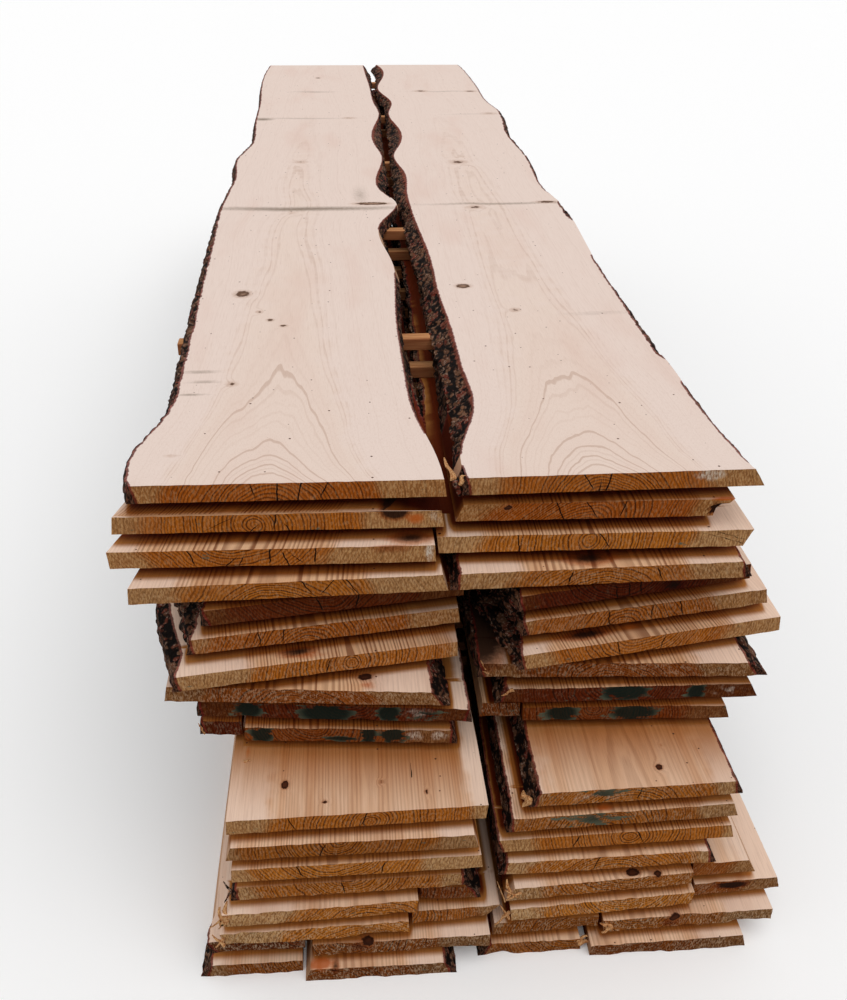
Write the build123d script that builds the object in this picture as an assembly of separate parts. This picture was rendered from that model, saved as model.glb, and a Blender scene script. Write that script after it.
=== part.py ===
from build123d import *
from collections import namedtuple
from math import cos, pi, sin
import os

# A stack of live-edged boards, sawn through and through and laid in two
# columns with thin drying sticks between the layers.
# X runs across the stack, Y along the boards away from their near ends,
# Z up from the ground. All lengths are in millimetres.

# Boards
board_length = 4000.0
board_thickness = 30.0
bay_width = 500.0         # width that one column of boards is planned for
end_stagger = 160.0       # the furthest that a lower board stands out in front

# Live edges
wane_depth = 40.0         # widest bevel that the bark leaves on an edge
edge_swing = 50.0         # how far the top boards' edges wander
flare_depth = 50.0        # how far a left edge widens or narrows behind its near end
flare_length = 170.0      # the stretch over which it does
wander_share = 0.03       # a lower board's edge wander, in its own width
taper_share = 0.03        # its narrowing at the far end, in its own width
wander_points = 8
least_swings = 1.3        # fewest swings of an edge along a lower board
swing_step = 0.618        # how the count of swings differs from edge to edge

# Drying sticks
stick_width = 32.0
stick_thickness = 25.0
stick_overhang = 15.0     # the furthest that a stick stands out past the narrower layer
stick_first = 636.0       # middle of the first row, from the top boards' near end
stick_last = 304.0        # middle of the last row, from their far end
stick_rows = 5
stick_jitter = 9.0        # how far sticks of one row lie out of line
end_jitter = 12.0         # how unevenly the boards' far ends were cut to length
jitter_turn = 2.4         # turn from one piece's jitter to the next one's, in radians

# Damage
knot_hole_radius = 14.0
knot_hole_depth = 11.0
knot_hole_share = 0.85    # how far across the near end it lies
chip_length = 34.0
chip_depth = 9.0
chip_tilt = 14.0          # degrees
chip_turn = 12.0          # degrees

# Boards from the top layer down. left and right are the near corners of the
# upper face, in bay widths from the stack's middle line; out_left and
# out_right are how far those corners stand out in front, in end staggers;
# wane_left and wane_right are how far the lower face reaches past the upper
# one, in wane depths; flare_left is in flare depths, below zero to narrow.
Board = namedtuple("Board", "name layer left right out_left out_right wane_left wane_right flare_left")

board_shares = [
    Board("board_01_left", 1, -0.952, -0.010, 0.00, 0.05, 0.30, 0.25, 0.0),
    Board("board_01_right", 1, 0.060, 0.952, 0.04, 0.03, 0.20, 0.45, 0.0),
    Board("board_02_left", 2, -1.010, -0.016, -0.02, 0.04, 0.10, 0.12, -0.9),
    Board("board_02_right", 2, 0.056, 0.908, -0.05, 0.00, 0.30, -0.80, 0.0),
    Board("board_03_left", 3, -1.038, -0.036, 0.05, 0.12, -0.05, 0.05, -1.0),
    Board("board_03_right", 3, -0.026, 0.984, -0.02, 0.04, -0.08, -0.35, 0.0),
    Board("board_04_left", 4, -0.982, -0.010, 0.17, 0.13, 0.06, 0.22, -0.6),
    Board("board_04_right", 4, 0.040, 0.968, 0.13, 0.09, 0.33, 0.45, 0.0),
    Board("board_05_left", 5, -0.772, 0.070, 0.11, -0.26, 0.05, 0.05, 1.1),
    Board("board_05_right", 5, 0.240, 1.056, 0.07, -0.36, 0.08, 0.05, 1.0),
    Board("board_06_left", 6, -0.822, 0.056, 0.12, -0.25, 0.20, 0.10, 0.9),
    Board("board_06_right", 6, 0.262, 1.130, 0.04, -0.37, 0.08, 0.15, 1.0),
    Board("board_07_left", 7, -0.876, 0.052, 0.27, -0.12, 0.12, 0.03, 1.0),
    Board("board_07_right", 7, 0.256, 1.194, 0.16, -0.33, 0.12, 0.08, 1.1),
    Board("board_08_left", 8, -0.922, -0.034, 0.00, 0.27, 0.15, 0.72, 0.0),
    Board("board_08_right", 8, 0.132, 1.080, -0.16, 0.02, 0.08, 0.75, 0.2),
    Board("board_09_left", 9, -0.836, 0.094, -0.14, 0.17, 0.15, 0.08, 0.0),
    Board("board_09_right", 9, 0.228, 1.094, -0.12, -0.04, 0.50, 0.40, 0.0),
    Board("board_10_left_outer", 10, -0.840, -0.696, -0.22, -0.19, 0.10, 0.00, 0.0),
    Board("board_10_left_inner", 10, -0.682, 0.038, -0.09, 0.11, 0.05, 0.25, 0.0),
    Board("board_10_right_inner", 10, 0.158, 0.292, -0.31, -0.28, 0.12, 0.00, 0.0),
    Board("board_10_right_outer", 10, 0.300, 1.024, -0.20, -0.09, 0.00, 0.27, 0.0),
    Board("board_11_left", 11, -0.730, 0.134, 0.91, 0.87, 0.05, -0.08, 0.0),
    Board("board_11_right", 11, 0.310, 1.000, 0.75, 0.72, 0.45, 0.40, 0.0),
    Board("board_12_left", 12, -0.724, 0.088, 0.95, 0.95, 0.25, 0.20, 0.0),
    Board("board_12_right", 12, 0.224, 1.006, 0.77, 0.71, 0.27, 0.27, 0.0),
    Board("board_13_left", 13, -0.730, 0.116, 0.94, 0.92, 0.05, 0.08, 0.0),
    Board("board_13_right", 13, 0.180, 1.014, 0.74, 0.70, 0.05, 0.20, 0.0),
    Board("board_14_left", 14, -0.732, 0.066, 0.89, 0.86, 0.20, 0.23, 0.0),
    Board("board_14_right", 14, 0.216, 0.952, 0.76, 0.74, 0.38, 0.38, 0.0),
    Board("board_15_left_outer", 15, -0.780, -0.098, 0.96, 0.91, -0.08, -0.12, 0.0),
    Board("board_15_left_inner", 15, -0.086, 0.092, 0.73, 0.76, 0.00, 0.70, 0.0),
    Board("board_15_right_inner", 15, 0.248, 0.904, 0.83, 0.74, 0.40, 0.00, 0.0),
    Board("board_15_right_outer", 15, 0.916, 1.124, 0.63, 0.62, 0.00, 0.40, 0.0),
    Board("board_16_left_outer", 16, -0.798, -0.132, 0.94, 0.90, -0.20, 0.05, 0.0),
    Board("board_16_left_inner", 16, -0.116, 0.202, 0.78, 0.76, 0.00, -0.60, 0.0),
    Board("board_16_right_inner", 16, 0.238, 0.924, 0.83, 0.74, -0.08, -0.08, 0.0),
    Board("board_16_right_outer", 16, 0.936, 1.254, 0.63, 0.59, 0.00, 0.22, 0.0),
    Board("board_17_left_outer", 17, -0.860, -0.508, 0.76, 0.76, -0.15, 0.00, 0.0),
    Board("board_17_left_inner", 17, -0.478, 0.166, 0.87, 0.88, -0.08, 0.00, 0.0),
    Board("board_17_right_inner", 17, 0.188, 0.580, 0.73, 0.71, 0.05, 0.00, 0.0),
    Board("board_17_right_outer", 17, 0.592, 1.236, 0.79, 0.76, -0.08, 0.05, 0.0),
    Board("board_18_left_outer", 18, -0.856, -0.520, 0.81, 0.81, 0.50, 0.00, 0.0),
    Board("board_18_left_inner", 18, -0.490, 0.004, 0.94, 0.95, 0.25, 0.57, 0.0),
    Board("board_18_right_inner", 18, 0.172, 0.516, 0.75, 0.75, 0.57, 0.05, 0.0),
    Board("board_18_right_outer", 18, 0.550, 1.132, 0.86, 0.84, 0.00, 0.20, 0.0),
]

# Live edges of the two top boards: places along the board in board lengths,
# then each edge's swing to the right of its near corner, in edge swings, and
# how far the bark reaches past it below, in wane depths.
along_shares = (0, .025, .06, .10, .15, .20, .26, .34, .388,
                .42, .47, .53, .57, .63, .705, .76, .83, .90, 1)
top_edge_shares = {
    "board_01_left": (
        (0, -.22, .44, .48, .36, .26, .18, .06, .06,
         .20, .34, .14, .66, .72, .56, .52, .28, .16, .46),
        (0, -.16, -.58, -.68, -.70, -.58, -.50, -.74, .26,
         -.42, -.50, -.02, -.34, -.34, .36, .12, .06, -.06, -.20),
    ),
    "board_01_right": (
        (0, .02, .72, .72, .70, .56, .60, .34, .24,
         .26, .42, -.02, .54, .82, .32, .76, -.04, .48, .30),
        (0, -.18, -.32, -.42, -.46, -.50, -.50, -.22, -.28,
         -.60, -.50, -.30, -.40, -.36, .08, -.40, -.42, -.42, -.72),
    ),
}
top_wane_shares = {
    "board_01_left": (
        (.10, .20, .35, .35, .35, .35, .35, .30, .30,
         .30, .30, .30, .25, .25, .25, .20, .20, .20, .20),
        (.12, .20, .30, .30, .30, .30, .30, .25, .05,
         .50, .80, .25, .80, .90, .20, .60, .20, .55, .50),
    ),
    "board_01_right": (
        (.20, .40, 1.0, 1.0, 1.0, .80, .90, .75, .60,
         .90, 1.0, .35, .90, 1.1, .35, .80, .30, .75, .70),
        (.48, .40, .40, .40, .40, .40, .35, .35, .40,
         .30, .35, .45, .40, .35, .30, .40, .30, .30, .30),
    ),
}

# How far the sticks stand out, in stick overhangs, below zero to stop short
stick_reach_shares = (-0.4, 2.0, 0.3, -0.5, -0.3, 0.5, -0.6)

layer_count = max(board.layer for board in board_shares)
layer_pitch = board_thickness + stick_thickness
stick_spacing = (board_length - stick_first - stick_last) / (stick_rows - 1)


def layer_base(layer):
    """Height of the lower face of a layer's boards."""
    return (layer_count - layer) * layer_pitch


def lower_edge_shift(board, side, along):
    """How far a lower board's edge lies outside its near corner."""
    width = (board.right - board.left) * bay_width
    rank = board_shares.index(board) + (side > 0) / 2
    swings = least_swings + (rank * swing_step) % 1
    wander = (1 - cos(2 * pi * swings * along)) / 2
    shift = -width * (wander_share * wander + taper_share * along)
    if side < 0:
        widened = min(1, along * board_length / flare_length)
        shift += board.flare_left * flare_depth * (1 - cos(pi * widened)) / 2
    return shift


def edge_points(board, side):
    """Plan of one live edge: points of the upper face, then of the lower one."""
    corner = (board.left if side < 0 else board.right) * bay_width
    out = (board.out_left if side < 0 else board.out_right) * end_stagger
    wane = (board.wane_left if side < 0 else board.wane_right) * wane_depth
    far_end = board_length - (board.out_left + board.out_right) / 2 * end_stagger
    far_end += end_jitter * sin(board_shares.index(board) * jitter_turn)
    if board.name in top_edge_shares:
        row = 0 if side < 0 else 1
        places = along_shares
        shifts = [share * edge_swing for share in top_edge_shares[board.name][row]]
        wanes = [share * wane_depth for share in top_wane_shares[board.name][row]]
    else:
        flare_places = [0, flare_length / board_length / 2, flare_length / board_length]
        step = (1 - flare_places[-1]) / wander_points
        places = flare_places + [flare_places[-1] + step * (i + 1) for i in range(wander_points)]
        shifts = [side * lower_edge_shift(board, side, place) for place in places]
        wanes = [wane] * len(places)
    upper, lower = [], []
    for place, shift, bevel in zip(places, shifts, wanes):
        y = -out + (far_end + out) * place
        upper.append((corner + shift, y))
        lower.append((corner + shift + side * bevel, y))
    return upper, lower


def sawn_outline(left_edge, right_edge, level):
    """One sawn face's outline: two live edges joined by two straight cuts."""
    left = [(x, y, level) for x, y in left_edge]
    right = [(x, y, level) for x, y in right_edge]
    return Wire([
        Line(left[0], right[0]).edge(),
        Spline(*right).edge(),
        Line(right[-1], left[-1]).edge(),
        Spline(*left).edge(),
    ])


def sawn_board(board):
    """A live-edged board: ruled between its lower and its upper sawn face."""
    base = layer_base(board.layer)
    left_upper, left_lower = edge_points(board, -1)
    right_upper, right_lower = edge_points(board, 1)
    lower_outline = sawn_outline(left_lower, right_lower, base)
    upper_outline = sawn_outline(left_upper, right_upper, base + board_thickness)
    return Solid.make_loft([lower_outline, upper_outline], ruled=True)


def knot_hole(board, across_share):
    """The hollow that a lost knot leaves in the upper corner of the near end."""
    x = (board.left + (board.right - board.left) * across_share) * bay_width
    y = -(board.out_left + (board.out_right - board.out_left) * across_share) * end_stagger
    top = layer_base(board.layer) + board_thickness
    return Pos(x, y, top) * Cylinder(knot_hole_radius, 2 * knot_hole_depth)


def chipped_corner(board):
    """A splinter broken off the upper right corner of the near end."""
    top = layer_base(board.layer) + board_thickness
    splinter = Rot(0, chip_tilt, chip_turn) * Box(2 * chip_length, 2 * chip_length, 2 * chip_depth)
    return Pos(board.right * bay_width, -board.out_right * end_stagger - chip_length / 2, top) * splinter


damage = {
    "board_02_left": lambda board: knot_hole(board, knot_hole_share),
    "board_03_left": chipped_corner,
}


def make_boards():
    """Every board of the stack by its name."""
    boards = {}
    for board in board_shares:
        solid = sawn_board(board)
        if board.name in damage:
            solid = (Part([solid]) - damage[board.name](board)).solid()
        boards[board.name] = solid
    return boards


def edge_at(board, side, face, y):
    """Where a board's live edge lies at a place along it; face is 0 above, 1 below."""
    points = edge_points(board, side)[face]
    for (x0, y0), (x1, y1) in zip(points, points[1:]):
        if y <= y1:
            return x0 + (x1 - x0) * (y - y0) / (y1 - y0)
    return points[-1][0]


def layer_edge(layer, side, face, y):
    """The outermost edge of a layer at a place along the stack."""
    edges = [edge_at(board, side, face, y) for board in board_shares if board.layer == layer]
    return side * max(side * edge for edge in edges)


def stick_end(gap, row, side, y):
    """Where a stick ends: near the narrower of the two layers that it parts."""
    above = layer_edge(gap, side, 1, y)
    below = layer_edge(gap + 1, side, 0, y)
    turn = gap + stick_rows * row + (side > 0)
    reach = stick_reach_shares[turn % len(stick_reach_shares)]
    return side * (min(side * above, side * below) + reach * stick_overhang)


def stick_row(row):
    """One row of drying sticks: a stick in each gap between two layers."""
    sticks = []
    for layer in range(1, layer_count):
        y = stick_first + row * stick_spacing + stick_jitter * sin(layer * jitter_turn + row)
        z = layer_base(layer) - stick_thickness / 2
        left = stick_end(layer, row, -1, y)
        right = stick_end(layer, row, 1, y)
        stick = Pos((left + right) / 2, y, z) * Box(right - left, stick_width, stick_thickness)
        sticks.append(stick)
    return Compound(children=[stick.solid() for stick in sticks])


def main():
    parts = make_boards()
    for row in range(stick_rows):
        parts[f"sticks_row_{row + 1}"] = stick_row(row)
    boxes = [part.bounding_box() for part in parts.values()]
    middle_x = (min(box.min.X for box in boxes) + max(box.max.X for box in boxes)) / 2
    middle_y = (min(box.min.Y for box in boxes) + max(box.max.Y for box in boxes)) / 2
    os.makedirs("parts", exist_ok=True)
    for name, part in parts.items():
        export_step(Pos(-middle_x, -middle_y, 0) * part, f"parts/{name}.step")


main()
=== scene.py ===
import itertools
import math
from collections import namedtuple

import bmesh
import bpy
import numpy as np
from mathutils import Matrix, Vector


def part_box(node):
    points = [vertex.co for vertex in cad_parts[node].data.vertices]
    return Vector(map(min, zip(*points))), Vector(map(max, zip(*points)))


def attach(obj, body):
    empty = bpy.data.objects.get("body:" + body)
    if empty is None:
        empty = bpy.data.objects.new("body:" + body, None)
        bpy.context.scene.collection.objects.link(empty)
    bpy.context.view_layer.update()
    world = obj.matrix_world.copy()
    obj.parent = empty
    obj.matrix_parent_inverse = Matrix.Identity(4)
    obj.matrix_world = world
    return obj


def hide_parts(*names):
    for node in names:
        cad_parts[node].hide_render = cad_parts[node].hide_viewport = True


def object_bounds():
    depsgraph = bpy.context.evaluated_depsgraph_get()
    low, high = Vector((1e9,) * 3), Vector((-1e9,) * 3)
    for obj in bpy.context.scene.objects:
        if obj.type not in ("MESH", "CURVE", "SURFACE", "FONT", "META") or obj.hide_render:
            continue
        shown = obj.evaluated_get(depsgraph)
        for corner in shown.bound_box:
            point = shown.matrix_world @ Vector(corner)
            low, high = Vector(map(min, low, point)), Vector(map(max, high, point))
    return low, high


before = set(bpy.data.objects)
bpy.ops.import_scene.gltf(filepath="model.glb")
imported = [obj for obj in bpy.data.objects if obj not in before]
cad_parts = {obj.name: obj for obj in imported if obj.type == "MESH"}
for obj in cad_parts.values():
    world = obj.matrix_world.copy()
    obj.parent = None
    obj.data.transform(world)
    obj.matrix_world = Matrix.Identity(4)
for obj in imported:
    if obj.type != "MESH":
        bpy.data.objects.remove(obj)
cad_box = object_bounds()


def by_board(table):
    return {"board_" + name: rows for name, rows in table.items()}


left_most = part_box("board_03_left")[0].x
column_edge = -0.519     # that board's corner, from the stack's middle line
middle = left_most - column_edge

# The photograph's view, measured from the stack's own corners, in metres and radians
photo_height_px = 1000
focal_px = 1060.9
sensor_mm = 36.0
eye_right = 0.3703      # from the leftmost board corner
eye_back = 1.3863       # in front of the top boards' near ends
eye_up = 0.7813         # above the top boards' upper face
corner_out = 0.008      # how far the top left board's right corner stands out
look_down = 0.53285
look_left = -0.08167
roll = 0.00986


def add_object(name, data, materials=()):
    for material in materials:
        data.materials.append(material)
    made = bpy.data.objects.new(name, data)
    bpy.context.scene.collection.objects.link(made)
    return made


def make_camera():
    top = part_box("board_01_left")
    forward = Vector((-math.sin(look_left) * math.cos(look_down),
                      math.cos(look_left) * math.cos(look_down), -math.sin(look_down)))
    level = Vector((math.cos(look_left), math.sin(look_left), 0))
    up = level.cross(forward)
    right = math.cos(roll) * level + math.sin(roll) * up
    up = -math.sin(roll) * level + math.cos(roll) * up
    data = bpy.data.cameras.new("camera")
    data.sensor_width = sensor_mm
    data.lens = focal_px / photo_height_px * sensor_mm
    data.clip_start, data.clip_end = 0.05, 100
    camera = add_object("camera", data)
    turn = Matrix((right, up, -forward)).transposed().to_4x4()
    place = Vector((left_most + eye_right, top[0].y + corner_out - eye_back, top[1].z + eye_up))
    camera.matrix_world = Matrix.Translation(place) @ turn
    bpy.context.scene.camera = camera


# How each board looks. pith_share is where the log's middle lies across the
# board and pith_rise how far above its lower face, in metres. bark_left and
# bark_right are the bark left on the edges at the near end, in metres. speckle
# is sawdust and dirt on the end, warmth how red the wood is, ragged how rough
# the end was cut, shade how much darker and browner the end is coloured and clear
# how clearly the growth rings show on the faces, each from 0 to 1.
Look = namedtuple("Look", "pith_share pith_rise bark_left bark_right speckle warmth ragged shade clear",
                  defaults=(1.0,))

board_looks = by_board({
    "01_left": (.45, -.035, .004, 0, .1, .9, .1, .05),
    "01_right": (.47, -.03, 0, .001, .1, .7, .1, .08),
    "02_left": (.43, .012, 0, 0, .1, .6, .1, 0),
    "02_right": (.5, -.03, 0, 0, .1, 1, .1, .1),
    "03_left": (.4, .115, 0, 0, .1, .7, .1, 0),
    "03_right": (.48, .02, 0, 0, .2, .4, .3, 0),
    "04_left": (.45, -.07, 0, 0, .2, .4, .1, .15),
    "04_right": (.5, -.075, .003, .006, .3, .5, .2, .2),
    "05_left": (.46, .09, .002, 0, .05, 1, .2, .9),
    "05_right": (.45, .08, .002, 0, .05, 1, .2, 1),
    "06_left": (.44, -.018, .002, 0, .3, .8, .1, .15),
    "06_right": (.4, -.025, .002, 0, .3, .7, .2, .2),
    "07_left": (.62, .014, .003, 0, .3, .5, .1, .05),
    "07_right": (.45, .07, .002, 0, .2, .6, .1, .05),
    "08_left": (.45, -.06, 0, .005, .6, .8, .2, .45),
    "08_right": (.45, -.05, .002, .004, .5, .8, .2, .55),
    "09_left": (.55, .06, .004, .004, .1, .7, .4, 1),
    "09_right": (.45, .05, .004, 0, .1, .7, .5, 1),
    "10_left_outer": (2.5, .04, .004, 0, .3, .8, .4, 1),
    "10_left_inner": (.3, .035, 0, .004, .1, .8, .4, .65),
    "10_right_inner": (2, .04, 0, 0, .6, .6, .5, .75),
    "10_right_outer": (.35, .03, 0, 0, .1, .9, .4, .75),
    "11_left": (.55, .01, 0, 0, .2, .5, .1, .05, .35),
    "11_right": (.46, -.06, .003, .002, .4, .4, .2, .2, .3),
    "12_left": (.45, .04, 0, 0, .2, .3, .1, .42, .6),
    "12_right": (.42, -.02, .003, 0, .4, .4, .2, .35, .8),
    "13_left": (.4, .08, 0, 0, .3, .3, .1, 0, .7),
    "13_right": (.55, .015, .003, 0, .1, .5, .1, 0),
    "14_left": (.48, .06, .003, .006, .4, .4, .3, .15, .6),
    "14_right": (.5, -.07, .002, .003, .5, .4, .2, .05, .55),
    "15_left_outer": (.75, -.08, 0, 0, .5, .3, .5, 0, .4),
    "15_left_inner": (-.6, -.03, 0, .012, .3, .8, .3, .7, .5),
    "15_right_inner": (.6, .1, 0, 0, .7, .4, .3, .25, .55),
    "15_right_outer": (-.8, .05, 0, 0, .2, .8, .3, .32, .05),
    "16_left_outer": (.7, -.09, 0, 0, .7, .2, .6, 0, .4),
    "16_left_inner": (-.3, .04, 0, 0, .4, .5, .4, .3, .5),
    "16_right_inner": (.62, .06, 0, 0, .7, .2, .5, 0, .5),
    "16_right_outer": (-.3, .09, 0, .001, .4, .7, .3, .52, .05),
    "17_left_outer": (1.1, .07, .003, 0, .9, .4, .4, .92, .2),
    "17_left_inner": (.2, .05, 0, 0, .8, .3, .5, .7, .4),
    "17_right_inner": (.85, -.04, 0, 0, .6, .3, .4, .55, .5),
    "17_right_outer": (.2, .06, 0, 0, .8, .3, .6, .5, .45),
    "18_left_outer": (1.2, .04, .005, 0, .5, .4, .3, .6, .25),
    "18_left_inner": (.15, -.05, 0, .002, .8, .4, .3, .76, .6),
    "18_right_inner": (.9, .08, .004, 0, .4, .4, .5, .5, .6),
    "18_right_outer": (.15, .07, 0, 0, .7, .4, .4, .76, .5),
})

# Brown streaks and painted shade from the layers above on upper faces: how strong, and from where to where
# from the stack's middle line
browned_and_shaded = by_board({"11_left": (0.22, -0.300, -0.095), "11_right": (0.08, 0.230, 0.420)})

# Cracks in the ends: x from the stack's middle line and how far its top leans
# to the right of its foot, in metres, then from where to where up the board, as shares
cracks = by_board({
    "01_left": ((-.291, -.009, .35, .9), (-.255, .001, 0, 1), (-.222, .006, 0, 1),
                (-.186, .014, .3, .9)),
    "01_right": ((.218, -.018, .2, 1), (.248, .005, 0, 1), (.235, 0, 0, .4)),
    "02_left": ((-.285, .030, 0, .3), (-.262, .007, .3, 1), (-.250, -.020, 0, .3),
                (-.345, .06, .3, .7)),
    "02_right": ((.179, -.013, 0, 1), (.230, -.020, .2, 1), (.279, .008, .2, 1)),
    "03_left": ((-.391, -.012, .2, 1), (-.325, .030, 0, .4), (-.314, .012, .1, 1), (-.272, .002, .2, 1),
                (-.250, -.012, 0, .9), (-.235, -.036, .2, 1), (-.203, .004, .2, 1)),
    "03_right": ((.116, -.003, 0, 1), (.254, -.020, .2, 1), (.448, -.09, .1, .7), (.468, -.09, .4, 1)),
    "04_left": ((-.216, -.022, .3, 1), (-.188, .024, .3, 1), (-.147, -.018, .1, 1)),
    "04_right": ((.200, .010, .2, .8), (.345, -.012, .1, .8)),
    "05_left": ((-.200, -.010, .2, .9), (-.140, .006, .1, .8)),
    "05_right": ((.288, -.006, 0, .7), (.311, -.002, .1, .8), (.331, -.004, .1, 1)),
    "06_left": ((-.300, -.004, .1, .9), (-.262, .004, .3, 1)),
    "06_right": ((.281, -.006, 0, .9), (.357, 0, .2, 1), (.410, -.010, .1, 1)),
    "07_left": ((-.190, .010, .1, .8),),
    "07_right": ((.300, -.008, .2, 1), (.380, .006, .1, .8)),
    "11_left": ((-.260, -.012, .1, .9), (-.140, .010, .2, 1)),
    "11_right": ((.330, .006, .2, .9),),
    "12_left": ((-.210, .012, .1, .8),),
    "13_left": ((-.250, -.010, .2, 1), (-.110, .008, .1, .8)),
    "13_right": ((.230, .010, .1, .9), (.345, -.012, .2, 1)),
    "14_left": ((-.180, -.006, .1, .8),),
    "14_right": ((.270, .010, .2, 1),),
    "16_right_outer": ((.535, -.08, .1, .9),),
})
crack_reach = 0.03

# Knots, stains and painted shade, holes, paint and resin. x is metres from the stack's middle
# line, back is metres behind the board's near end and up metres above its lower
# face, then come the half sizes the same way, and how strong it is. Resin below
# 0 is a pale patch. The dark marks of board_02_left and board_08_right are painted shade.
Mark = namedtuple("Mark", "x back up wide deep high strength")

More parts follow.
